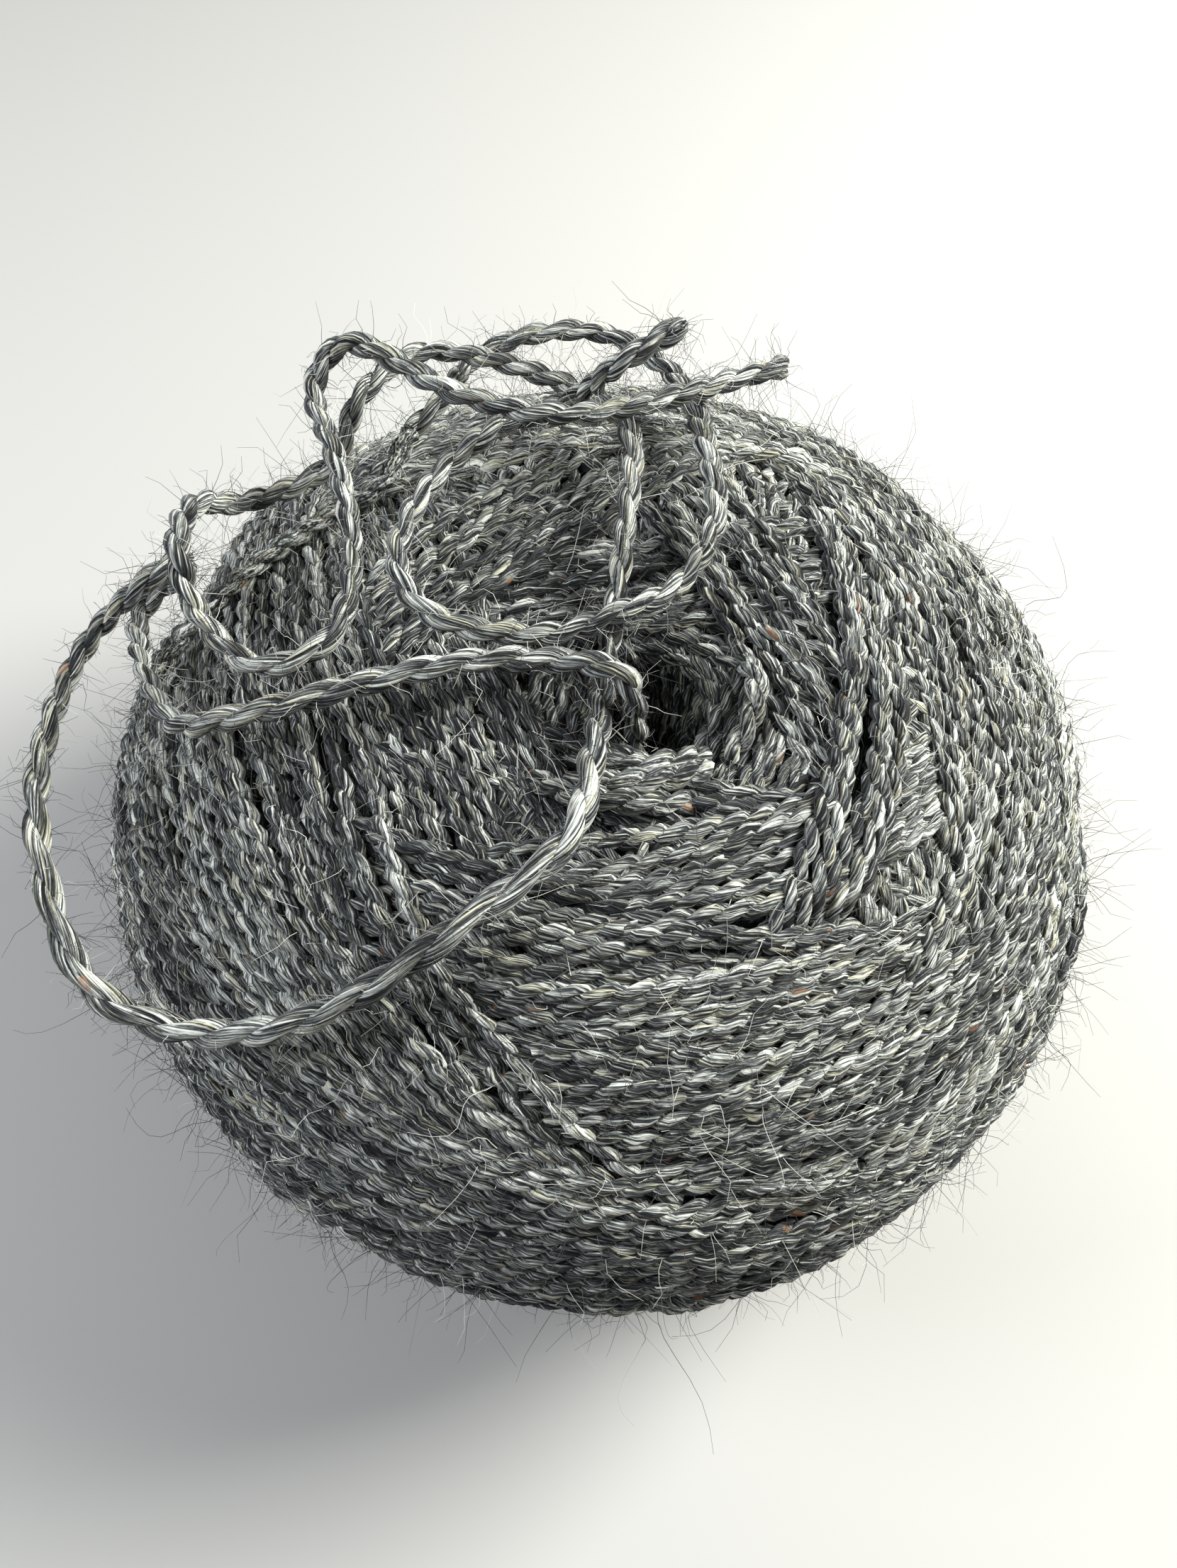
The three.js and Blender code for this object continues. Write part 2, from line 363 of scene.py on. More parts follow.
def slowWave(length, wave, size, phases, longerBy=0.7):
    # a soft irregular wave along a strand, from a few sines, each longer than the one before
    total = np.zeros_like(length)
    for k, phase in enumerate(phases):
        total += np.sin(2 * math.pi * length / (wave * (1 + longerBy * k)) + phase)
    return size * total / len(phases)


# Loose ends: the routes of the part's source, in millimetres

centreRoute = [
    [2.5, -5.5, 50], [3.5, -6.5, 67.5], [2, -5.5, 73.5], [-3.5, -3.5, 72.5], [-13, -4.5, 73.5], [-33, -8, 70],
    [-39, -6.5, 66.5], [-44.5, 2.5, 62.5], [-46.5, 10, 60.5], [-41, 12, 65.5], [-41, 8.5, 70.5],
    [-49.5, 3, 65], [-52.5, -9, 63], [-50.5, -20, 61.5], [-45.5, -29.5, 59], [-37, -33.5, 59],
    [-24.5, -34.5, 65], [-10.5, -28, 71.5], [-2.5, -21, 72.5], [-0.5, -12, 71], [0.5, -3, 68.5],
    [2.5, 11, 72.5], [3, 23, 73], [-1.5, 29.5, 71.5], [-17.5, 33, 73.5], [-23.5, 27, 73.5],
    [-26.5, 22, 69.5], [-34.5, 17, 69.5], [-38, 13, 74], [-38.5, 7, 75.5], [-37, 2.5, 71],
    [-30.5, -3.5, 71.5], [-24, -1.5, 73.5], [-23, 8.5, 73.5], [-25, 17.5, 75.5], [-27.5, 25.5, 76.5],
    [-24.5, 28.5, 79], [-13, 22.5, 78.5], [-3, 20.5, 78], [19, 31.5, 73]]

outerRoute = [
    [-19, 27, 68.5], [-15.5, 30.5, 70], [-13, 36.5, 69], [-6.5, 38, 71], [1, 39, 70], [8, 33.5, 69.5],
    [10.5, 21, 73], [11, 11.5, 73], [7, 4.5, 72.5], [2, 1.5, 73], [-3.5, -0.5, 72.5], [-10, -1, 73.5],
    [-15.5, 0.5, 74.5], [-18.5, 6, 74.5], [-16.5, 14.5, 74], [-10.5, 22.5, 73.5], [-5.5, 25.5, 73],
    [-1.5, 25, 76], [1.5, 24, 80.5], [8, 27, 83]]

# Towards the front the loose yarn has lost some of its twist and is fuller; its cut tips flare
looseEnd = {"diameter": 2.4, "step": 0.6, "openFrom": 6, "openBy": -20, "fuller": 0.17,
            "unevenness": 0.09, "unevenLength": 31, "twistSway": 1.2, "swayLength": 47,
            "tipFlare": 0.22, "tipLength": 3.0, "tipTaper": 0.25, "taperLength": 0.7}


def smoothRoute(route, step, fineSteps=40):
    # centripetal Catmull-Rom curve through the route's points, as the part's source draws it
    points = np.array(route, float)
    points = np.vstack([2 * points[0] - points[1], points, 2 * points[-1] - points[-2]])
    fine = []
    for a, b, c, d in zip(points[:-3], points[1:-2], points[2:-1], points[3:]):
        gaps = [max(math.sqrt(np.linalg.norm(q - p)), 1e-6) for p, q in ((a, b), (b, c), (c, d))]
        knots = np.cumsum([0] + gaps)
        t = np.linspace(knots[1], knots[2], fineSteps, endpoint=False)[:, None]
        ab = (knots[1] - t) / (knots[1] - knots[0]) * a + (t - knots[0]) / (knots[1] - knots[0]) * b
        bc = (knots[2] - t) / (knots[2] - knots[1]) * b + (t - knots[1]) / (knots[2] - knots[1]) * c
        cd = (knots[3] - t) / (knots[3] - knots[2]) * c + (t - knots[2]) / (knots[3] - knots[2]) * d
        abc = (knots[2] - t) / (knots[2] - knots[0]) * ab + (t - knots[0]) / (knots[2] - knots[0]) * bc
        bcd = (knots[3] - t) / (knots[3] - knots[1]) * bc + (t - knots[1]) / (knots[3] - knots[1]) * cd
        middle = knots[2] - knots[1]
        fine.append((knots[2] - t) / middle * abc + (t - knots[1]) / middle * bcd)
    fine = np.vstack(fine + [points[-2:-1]])
    reached = np.concatenate([[0], np.cumsum(np.linalg.norm(np.diff(fine, axis=0), axis=1))])
    count = max(2, round(reached[-1] / step) + 1)
    even = np.linspace(0, reached[-1], count)
    return np.column_stack([np.interp(even, reached, fine[:, k]) for k in range(3)])


def looseStrand(name, route, node):
    points = smoothRoute(route, looseEnd["step"])
    along = np.concatenate([[0], np.cumsum(np.linalg.norm(np.diff(points, axis=0), axis=1))])
    length = along[-1]
    opened = smoothStep(looseEnd["openFrom"], looseEnd["openBy"], points[:, 1])
    uneven = slowWave(along, looseEnd["unevenLength"], looseEnd["unevenness"],
                      random.uniform(0, phaseRoom, 3))
    thickness = 1 + uneven + looseEnd["fuller"] * opened
    thickness += looseEnd["tipFlare"] * smoothStep(looseEnd["tipLength"], 0, length - along)
    thickness *= 1 - looseEnd["tipTaper"] * (1 - smoothStep(0, looseEnd["taperLength"], length - along))
    turnLength = looseMake["twistLength"] + (looseMake["openTwistLength"] - looseMake["twistLength"]) * opened
    twist = np.cumsum(2 * math.pi * (length / (len(points) - 1)) / turnLength)
    twist += slowWave(along, looseEnd["swayLength"], looseEnd["twistSway"], random.uniform(0, phaseRoom, 2))
    run = {"points": points, "along": along, "twist": twist, "thickness": thickness,
           "shift": random.uniform(0, noiseRoom, 3), "tone": 0.0}
    piece = spinYarn(name, [run], looseMake, looseYarn)
    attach(piece, "root")
    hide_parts(node)
    print(name, "is", round(length, 1), "mm long")
    return points


centrePoints = looseStrand("looseCentreEnd", centreRoute, "centre_tail")
outerPoints = looseStrand("looseOuterEnd", outerRoute, "outer_tail")


# Form of the wound ball, with the same driving sizes as the part's source

ballForm = {"radius": 53.5, "halfHeight": 37.8, "flatCut": 1.2, "middle": (0.2, -0.45),
            "hole": (5.0, -3.5), "dishDepth": 8, "dishReach": 17, "pitDepth": 24, "pitReach": 6.2,
            "leanNear": 16, "leanFar": 46, "leanLow": -12, "leanHigh": 8}
centreHeight = ballForm["halfHeight"] - ballForm["flatCut"]
ballCentre = np.array([0, 0, centreHeight])


def ballPoint(direction, pit=True):
    # the smooth wound surface in the direction of a unit sphere's point
    reach = ballForm["radius"] * np.hypot(direction[..., 0], direction[..., 1])
    dip = ballForm["dishDepth"] * np.exp(-(reach / ballForm["dishReach"]) ** 2)
    if pit:
        dip = dip + ballForm["pitDepth"] * np.exp(-(reach / ballForm["pitReach"]) ** 6)
    z = centreHeight + ballForm["halfHeight"] * direction[..., 2] - np.where(direction[..., 2] > 0, dip, 0)
    lean = smoothStep(ballForm["leanLow"], ballForm["leanHigh"], z - centreHeight)
    lean = lean * smoothStep(ballForm["leanFar"], ballForm["leanNear"], reach)
    x = ballForm["radius"] * direction[..., 0] + lean * ballForm["hole"][0] + ballForm["middle"][0]
    y = ballForm["radius"] * direction[..., 1] + lean * ballForm["hole"][1] + ballForm["middle"][1]
    return np.stack([x, y, np.maximum(z, 0)], axis=-1)


# Winding: bands of side-by-side turns, laid one after another. Each turn rests on those below it.
# tilt is a band's slope from the level, heading the side where it runs highest, shift moves it off the
# middle, and turns is how many lie side by side.

# How turns lie: side by side at the pitch, sinking a little into those below, and bridging hollows.
# Heights are kept in a map of small cells all over the ball.
winding = {"pitch": 1.80, "unevenness": 0.2, "bandSway": 1.2, "bandWaves": (2, 3), "secondWave": 0.6,
           "turnSway": 0.30, "turnWaves": (7, 11), "phaseRoom": 6.28,
           "contact": 0.82, "contactSteps": 9, "freeSteps": 2, "sink": 0.75,
           "bridge": 6, "bridgeFall": 0.015, "stiffness": 7, "levelSpread": 6, "buriedSpread": 1.5,
           "deepest": -1.9, "proudest": 0.5, "usualDepth": 0.4, "softness": 1.8,
           "cells": 360, "cellSize": 0.4, "coveredFrom": 0.3, "evenOut": 5.0, "step": 0.36, "skip": 3,
           "hiddenUnder": 0.45, "overlap": 2, "toneSpread": 0.02, "palest": 0.025}

# How turns bend round the pull hole: fully where they pass close by, not at all further away
holeBend = {"radius": 6.0, "spread": 1.5, "roundness": 1.5, "full": 15, "none": 24}

# The older winding covers the whole ball, as two layers of turns side by side
olderLayers = [{"tilt": 60, "heading": 40, "reach": 74}, {"tilt": 30, "heading": 215, "reach": 74}]
olderPitch = 1.2 * winding["pitch"]

# Then bands in every direction, of which little shows
underBands = {"count": 12, "turns": 6, "steepest": 80, "flattest": 12, "turnStep": 137.5, "mixing": 0.618,
              "spread": 24}

# And last the bands whose slopes and order are read from the photograph: (tilt, heading, shift, turns)
lastBands = [
    (79, 330, 0, 5), (80, 160, 0, 5), (77, 60, 0, 5), (76, 100, 0, 6), (78, 250, 0, 5),
    (72, 205, 0, 6), (73, 28, 0, 6), (69, 285, 0, 6), (64, 130, 0, 6), (66, 350, 1, 5),
    (57, 205, 1.5, 7), (54, 20, -1, 7), (58, 255, 0, 6), (50, 95, 0, 7), (47, 278, 1, 7),
    (44, 190, 2, 6), (42, 350, 0, 6), (36, 150, 2, 7), (33, 330, -2, 7), (38, 250, 4, 6),
    (30, 60, 3, 7), (26, 200, 10, 7), (25, 20, 12, 7), (22, 240, 6, 7), (18, 60, -6, 7),
    (15, 160, -24, 8), (14, 280, 18, 8), (12, 30, -30, 8), (9, 300, -16, 8), (7, 120, 17, 8),
    (8, 210, 2, 7), (50, 200, 1, 7), (39, 200, 0, 9), (28, 232, -3, 8), (24, 250, -13, 7)]


def roundHole(ring, heading):
    # a turn that would cross the pull hole bends round it, to the side on which it passes
    outward = np.array([math.cos(heading), math.sin(heading)])
    past = ballForm["radius"] * ring[:, :2] @ outward
    level = ballForm["radius"] * ring[:, :2] @ np.array([-outward[1], outward[0]])
    underside = ring[:, 2] < 0
    nearest = np.argmin(np.where(underside, np.inf, np.hypot(past, level)))
    side = 1 if past[nearest] >= 0 else -1
    room = holeBend["radius"] * np.exp(-(level / (holeBend["spread"] * holeBend["radius"])) ** 2)
    kept = 0.5 * (past * side + room + np.sqrt((past * side - room) ** 2 + holeBend["roundness"]))
    atHole = smoothStep(holeBend["none"], holeBend["full"], np.hypot(past, level)) * (ring[:, 2] > 0)
    move = (kept * side - past) * atHole / ballForm["radius"]
    flat = ring[:, :2] + move[:, None] * outward
    height = np.sqrt(1 - np.minimum(np.sum(flat ** 2, axis=1), 1))
    return np.column_stack([flat, np.where(atHole > 0, height, ring[:, 2])])


def ringOf(tilt, heading, offset, phases):
    tilt, heading = math.radians(tilt), math.radians(heading)
    side = np.array([math.cos(heading), math.sin(heading)])
    axis = np.array([*(-math.sin(tilt) * side), math.cos(tilt)])
    low = -np.array([*(math.cos(tilt) * side), math.sin(tilt)])
    count = int(2 * math.pi * ballForm["radius"] / winding["step"])
    turn = np.linspace(0, 2 * math.pi, count, endpoint=False)
    waves = [*winding["bandWaves"], *winding["turnWaves"]]
    wave = [np.sin(number * turn + phase) for number, phase in zip(waves, phases)]
    second = winding["secondWave"]
    sway = winding["bandSway"] * (wave[0] + second * wave[1]) / (1 + second)
    sway += winding["turnSway"] * (wave[2] + wave[3])
    lift = ((offset + sway) / ballForm["radius"])[:, None]
    across = np.cross(axis, low)
    ring = np.cos(lift) * (np.cos(turn)[:, None] * low + np.sin(turn)[:, None] * across) + np.sin(lift) * axis
    return roundHole(ring, heading)


def smoothLoop(values, spread, cutOff=3):
    # gaussian smoothing of values round a closed turn
    reach = int(cutOff * spread)
    weights = np.exp(-0.5 * (np.arange(-reach, reach + 1) / spread) ** 2)
    padded = np.concatenate([values[-reach:], values, values[:reach]])
    return np.convolve(padded, weights / weights.sum(), "valid")


def cellOf(places):
    # the height map's cell for points seen from the ball's middle: two equal-area discs, upper and lower
    seen = unit(places - ballCentre)
    half = winding["cells"] / 2
    stretch = np.sqrt(2 / (1 + np.abs(seen[..., 2]))) / math.sqrt(2)
    column = np.clip((seen[..., 0] * stretch * half + half).astype(int), 0, winding["cells"] - 1)
    row = np.clip((seen[..., 1] * stretch * half + half).astype(int), 0, winding["cells"] - 1)
    return ((seen[..., 2] < 0) * winding["cells"] + row) * winding["cells"] + column


def blurMap(heights, spread, cutOff=2.5):
    # the mean height of the winding round each cell, over cells that some turn covers
    size = winding["cells"]
    reach = int(cutOff * spread)
    weights = np.exp(-0.5 * (np.arange(-reach, reach + 1) / spread) ** 2)
    result = []
    for disc in heights.reshape(2, size, size):
        covered = (disc > winding["coveredFrom"]).astype(float)
        layers = []
        for layer in (disc * covered, covered):
            for axis in (0, 1):
                layer = np.apply_along_axis(np.convolve, axis, layer, weights, "same")
            layers.append(layer)
        result.append(layers[0] / np.maximum(layers[1], 1e-3))
    return np.array(result).ravel()


def windBall():
    radius = winding["contact"]
    sideSteps = np.linspace(-radius, radius, winding["contactSteps"])[:, None]
    roundness = np.sqrt(np.maximum(radius ** 2 - sideSteps ** 2, 0))
    heights = np.zeros(2 * winding["cells"] ** 2)
    bands = []
    for k in range(underBands["count"]):
        share = (k * underBands["mixing"]) % 1
        tilt = underBands["steepest"] + (underBands["flattest"] - underBands["steepest"]) * share
        shift = random.uniform(-1, 1) * underBands["spread"] * share
        bands.append((tilt, k * underBands["turnStep"], shift, underBands["turns"]))
    layers = []
    for layer in olderLayers:
        count = int(2 * layer["reach"] / olderPitch)
        layers.append((layer["tilt"], layer["heading"], 0, count))
    turns = []
    for tilt, heading, shift, count in layers + bands + lastBands:
        # level turns lie on the ball's steep side, where the squat form brings them closer together
        flatness = math.cos(math.radians(tilt)) ** 2
        latitude = shift / ballForm["radius"]
        flatter = ballForm["halfHeight"] / ballForm["radius"]
        squat = math.hypot(math.sin(latitude), math.cos(latitude) * flatter)
        pitch = winding["pitch"] * (1 + flatness * (1 / squat - 1))
        phases = random.uniform(0, winding["phaseRoom"], 2)
        order = np.arange(count) if random.random() < 0.5 else np.arange(count)[::-1]
        for k in order:
            uneven = random.uniform(-winding["unevenness"], winding["unevenness"])
            offset = shift + (k - (count - 1) / 2) * pitch + uneven
            ring = ringOf(tilt, heading, offset, [*phases, *random.uniform(0, winding["phaseRoom"], 2)])
            points = ballPoint(ring, pit=False)
            seen = unit(points - ballCentre)
            tangent = unit(np.roll(points, -1, axis=0) - np.roll(points, 1, axis=0))
            beside = unit(np.cross(tangent, seen))
            cells = cellOf(points[None] + beside[None] * sideSteps[..., None])
            underneath = slice(winding["freeSteps"], -winding["freeSteps"])
            rest = (heights[cells] + roundness)[underneath].max(axis=0)
            crest = rest.copy()
            for shiftBy in range(-winding["bridge"], winding["bridge"] + 1):
                crest = np.maximum(crest, np.roll(rest, shiftBy) - winding["bridgeFall"] * shiftBy ** 2)
            height = smoothLoop(crest, winding["stiffness"]) - winding["sink"]
            np.maximum.at(heights, cells.ravel(), (height[None] + roundness).ravel())
            turns.append({"points": points, "seen": seen, "height": height, "cells": cells,
                          "toneShift": min(random.normal(0, winding["toneSpread"]), winding["palest"])})
    mean = blurMap(heights, winding["evenOut"] / winding["cellSize"])
    for turn in turns:
        level = smoothLoop(mean[turn["cells"][winding["contactSteps"] // 2]], winding["levelSpread"])
        top = heights[turn["cells"]] - (turn["height"][None] + roundness)
        turn["buried"] = smoothLoop(top.min(axis=0), winding["buriedSpread"])
        # soft yarn beds in: the deep turns lie less deep and the proud ones less proud than hard rods would
        middle = (winding["proudest"] + winding["deepest"]) / 2
        reach = (winding["proudest"] - winding["deepest"]) / 2
        proud = turn["height"] - level + winding["usualDepth"]
        bedded = middle + reach * np.tanh(proud / winding["softness"])
        turn["points"] = turn["points"] + turn["seen"] * (bedded - radius)[:, None]
    return turns


def shownRuns(turns):
    # only the lengths that show are kept, each a little longer than it shows
    lowest = woundMake["thickest"] * (woundMake["plyRadius"] + woundMake["plyCentre"])
    runs = []
    for turn in turns:
        points = turn["points"][::winding["skip"]].copy()
        points[:, 2] = np.maximum(points[:, 2], lowest)
        shown = turn["buried"][::winding["skip"]] < winding["hiddenUnder"]
        for _ in range(winding["overlap"]):
            shown = shown | np.roll(shown, 1) | np.roll(shown, -1)
        along = np.concatenate([[0], np.cumsum(np.linalg.norm(np.diff(points, axis=0), axis=1))])
        twists = round(along[-1] / (woundMake["twistLength"] * random.uniform(*woundMake["twistSpread"])))
        twist = along * (twists * 2 * math.pi / along[-1])
        thickness = 1 + slowWave(along, woundMake["unevenLength"], woundMake["unevenness"],
                                 random.uniform(0, phaseRoom, 3))
        edges = np.flatnonzero(np.diff(np.concatenate([[False], shown, [False]]).astype(int)))
        noiseShift = random.uniform(0, noiseRoom, 3)
        for start, end in zip(edges[::2], edges[1::2]):
            if end - start < 2 * winding["overlap"] + 1:
                continue
            part = slice(start, end)
            runs.append({"points": points[part], "along": along[part], "twist": twist[part],
                         "thickness": thickness[part], "shift": noiseShift, "tone": turn["toneShift"]})
    return runs


# The hole's section as far as strands follow it, and the strands that fan over its rim and go down its wall

holeSection = {"from": 24, "to": 4.6, "steps": 400, "mouth": 7.2}
holeStrands = {"count": 24, "rim": (7.6, 10), "down": (9, 17), "step": 0.72, "swirl": 35, "swirlSpread": 20,
               "bearingSpread": 0.12, "lift": (-0.1, 0.6), "tuck": 3.2, "tuckShare": 0.3, "sunk": 0.3,
               "offWall": -0.5, "wallFrom": 9, "wallBy": 5.5, "arch": 1.1,
               "bulge": 3.9, "bulgeAt": 25, "bulgeSpread": 62, "bulgeShare": (0.5, 1),
               "unevenness": 0.14, "unevenLength": 17, "tone": 0.02, "toneSpread": 0.02}

# The last turn of all: it comes up out of the winding and becomes the loose outer end
lastTurn = {"length": 46, "rises": 9, "sinks": 10, "lift": 0.5, "under": 2.6, "step": 0.9,
            "looseThickness": 1.18, "woundThickness": 1.06, "tone": 0.01}

# Plump curled turns just in front of the hole, from one bearing round it to another
rimCurls = [{"from": -131, "to": -58, "radius": (12.2, 8.8), "lift": 1.7, "thickness": 1.30},
            {"from": -124, "to": -46, "radius": (9.4, 7.2), "lift": 1.5, "thickness": 1.28},
            {"from": -142, "to": -70, "radius": (14.4, 11.6), "lift": 1.2, "thickness": 1.18},
            {"from": -112, "to": -20, "radius": (7.2, 5.6), "lift": 0.9, "thickness": 1.20},
            {"from": 28, "to": -44, "radius": (9.4, 9.2), "lift": 1.0, "thickness": 1.14},
            {"from": 50, "to": -24, "radius": (7.4, 6.8), "lift": 0.4, "thickness": 1.14}]
curlForm = {"points": 22, "fullness": 0.6, "tuck": 2.2, "tone": 0.035}


def holeRuns():
    # the hole's section as a line of radius against depth, measured along itself
    radius = np.linspace(holeSection["from"], holeSection["to"], holeSection["steps"])
    level = centreHeight + ballForm["halfHeight"] * np.sqrt(1 - (radius / ballForm["radius"]) ** 2)
    level -= ballForm["dishDepth"] * np.exp(-(radius / ballForm["dishReach"]) ** 2)
    level -= ballForm["pitDepth"] * np.exp(-(radius / ballForm["pitReach"]) ** 6)
    reached = np.concatenate([[0], np.cumsum(np.hypot(np.diff(radius), np.diff(level)))])
    mouth = np.interp(holeSection["mouth"], radius[::-1], reached[::-1])
    centre = np.array(ballForm["hole"]) + np.array(ballForm["middle"])
    runs = []
    for k in range(holeStrands["count"]):
        start = np.interp(random.uniform(*holeStrands["rim"]), radius[::-1], reached[::-1])
        end = mouth + random.uniform(*holeStrands["down"])
        count = int((end - start) / holeStrands["step"])
        s = np.linspace(start, end, count)
        out, height = np.interp(s, reached, radius), np.interp(s, reached, level)
        share = (s - start) / (end - start)
        uneven = random.uniform(-holeStrands["bearingSpread"], holeStrands["bearingSpread"])
        angle = 2 * math.pi * k / holeStrands["count"] + uneven
        swirl = holeStrands["swirl"] + random.uniform(-holeStrands["swirlSpread"], holeStrands["swirlSpread"])
        angle = angle - math.radians(swirl) * (1 - (1 - share) ** 2)
        arch = np.sin(math.pi * np.clip(share * holeStrands["arch"], 0, 1))
        lift = random.uniform(*holeStrands["lift"]) * arch
        lift -= holeStrands["tuck"] * (1 - smoothStep(0, holeStrands["tuckShare"], share))
        # on one side the wall's turns have slackened into the hole
        aside = (np.degrees(angle) - holeStrands["bulgeAt"] + 180) % 360 - 180
        slack = holeStrands["bulge"] * np.exp(-(aside / holeStrands["bulgeSpread"]) ** 2)
        onWall = smoothStep(holeStrands["wallFrom"], holeStrands["wallBy"], out)
        slack = slack * random.uniform(*holeStrands["bulgeShare"])
        out = out - onWall * (lift + holeStrands["offWall"] + slack)
        points = np.column_stack([centre[0] + out * np.cos(angle), centre[1] + out * np.sin(angle),
                                  height + lift - holeStrands["sunk"]])
        along = np.concatenate([[0], np.cumsum(np.linalg.norm(np.diff(points, axis=0), axis=1))])
        uneven = slowWave(along, holeStrands["unevenLength"], holeStrands["unevenness"],
                          random.uniform(0, phaseRoom, 2))
        twist = along * 2 * math.pi / woundMake["twistLength"]
        runs.append({"points": points, "along": along, "twist": twist, "thickness": 1 + uneven,
                     "shift": random.uniform(0, noiseRoom, 3),
                     "tone": random.normal(holeStrands["tone"], holeStrands["toneSpread"])})
    for curl in rimCurls:
        share = np.linspace(0, 1, curlForm["points"])
        angle = np.radians(curl["from"] + (curl["to"] - curl["from"]) * share)
        out = curl["radius"][0] + (curl["radius"][1] - curl["radius"][0]) * share
        arch = np.sin(math.pi * share) ** curlForm["fullness"]
        height = np.interp(out, radius[::-1], level[::-1])
        height += curl["lift"] * arch - curlForm["tuck"] * (1 - arch)
        points = np.column_stack([centre[0] + out * np.cos(angle), centre[1] + out * np.sin(angle), height])
        along = np.concatenate([[0], np.cumsum(np.linalg.norm(np.diff(points, axis=0), axis=1))])
        twist = along * 2 * math.pi / woundMake["twistLength"]
        runs.append({"points": points, "along": along, "twist": twist,
                     "thickness": np.full(len(share), curl["thickness"]),
                     "shift": random.uniform(0, noiseRoom, 3), "tone": curlForm["tone"]})
    return runs


def lastTurnRun():
    start = outerPoints[0]
    back = unit(outerPoints[0] - outerPoints[3])
    reached = np.arange(0, lastTurn["length"], lastTurn["step"])
    straight = start + back * reached[:, None]
    halfSizes = [ballForm["radius"], ballForm["radius"], ballForm["halfHeight"]]
    onBall = ballPoint(unit((straight - ballCentre) / halfSizes), pit=False)
    sinking = smoothStep(lastTurn["length"] - lastTurn["sinks"], lastTurn["length"], reached)
    onBall += unit(onBall - ballCentre) * (lastTurn["lift"] - lastTurn["under"] * sinking)[:, None]
    settled = smoothStep(0, lastTurn["rises"], reached)[:, None]
    points = straight * (1 - settled) + onBall * settled
    along = np.concatenate([[0], np.cumsum(np.linalg.norm(np.diff(points, axis=0), axis=1))])
    thinner = lastTurn["looseThickness"] - lastTurn["woundThickness"]
    return {"points": points, "along": along, "twist": -along * 2 * math.pi / woundMake["twistLength"],
            "thickness": lastTurn["looseThickness"] - thinner * settled[:, 0],
            "shift": random.uniform(0, noiseRoom, 3), "tone": lastTurn["tone"]}


turns = windBall()
runs = shownRuns(turns) + holeRuns() + [lastTurnRun()]
total = sum(len(run["points"]) for run in runs)
print(len(turns), "turns in", len(runs), "lengths,", total, "points")

woundPieces = {"count": 4}
share, group, pieceNumber = 0, [], 1
for run in runs:
    group.append(run)
    share += len(run["points"])
    if share > total / woundPieces["count"] * pieceNumber or run is runs[-1]:
        piece = spinYarn(f"woundYarn{pieceNumber}", group, woundMake, woundYarn)
        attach(piece, "root")
        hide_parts("ball")
        group = []
        pieceNumber += 1


# Inside of the ball: the older yarn under the turns that show, and the walls of the pull hole

# It is the same yarn drawn darker through its tone: painted shade for the hollows between the turns above it
inside = {"depth": 2.8, "rows": 90, "columns": 160, "offFloor": 0.4, "tone": -0.06,
          "fibreUp": 45, "fibreOut": 0.3}


def insideBody(depth):
    latitude = np.linspace(-math.pi / 2, math.pi / 2, inside["rows"] + 1)[1:-1]
    longitude = np.linspace(0, 2 * math.pi, inside["columns"], endpoint=False)
    lat, lon = np.meshgrid(latitude, longitude, indexing="ij")
    direction = np.stack([np.cos(lat) * np.cos(lon), np.cos(lat) * np.sin(lon), np.sin(lat)], axis=-1)
    points = ballPoint(direction)
    points = points - unit(points - ballCentre) * depth
    points[..., 2] = np.maximum(points[..., 2], inside["offFloor"])
    poles = [ballPoint(np.array([0.0, 0.0, end])) for end in (-1.0, 1.0)]
    poles[0][2] = inside["offFloor"]
    vertices = np.vstack([points.reshape(-1, 3), poles]) * mm
    faces = []
    rows, columns = lat.shape
    for i in range(rows - 1):
        for j in range(columns):
            k = (j + 1) % columns
            row, above = i * columns, (i + 1) * columns
            faces.append((row + j, row + k, above + k, above + j))
    south, north = rows * columns, rows * columns + 1
    for j in range(columns):
        k = (j + 1) % columns
        faces.append((k, j, south))
        faces.append(((rows - 1) * columns + j, (rows - 1) * columns + k, north))
    mesh = bpy.data.meshes.new("insideYarn")
    mesh.from_pydata(vertices.tolist(), [], faces)
    mesh.shade_smooth()
    # fibres run round the ball: millimetres up the ball, outwards and along the fibre
    fibre = np.column_stack([
        lat.ravel() * inside["fibreUp"], points.reshape(-1, 3)[:, 0] * inside["fibreOut"],
        lon.ravel() * ballForm["radius"]])
    layer = mesh.attributes.new("fibre", "FLOAT_VECTOR", "POINT")
    layer.data.foreach_set("vector", np.vstack([fibre, np.zeros((2, 3))]).ravel())
    # the whole inside takes the darker tone, the painted shade
    tone = mesh.attributes.new("tone", "FLOAT", "POINT")
    tone.data.foreach_set("value", np.full(len(vertices), inside["tone"]))
    return mesh


insidePiece = bpy.data.objects.new("insideYarn", insideBody(inside["depth"]))
bpy.context.scene.collection.objects.link(insidePiece)
insidePiece.data.materials.append(woundYarn)
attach(insidePiece, "root")
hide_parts("ball")
print("insideYarn has", triangleCount(insidePiece.data), "triangles")


# Fuzz: short fibres all over the yarn, and longer ones that have worked loose and curl away from it

fibreForm = {"sides": 3, "swayAngle": 6.5, "swaySize": 0.35, "tipThinner": 0.6, "offFloor": 0.15}


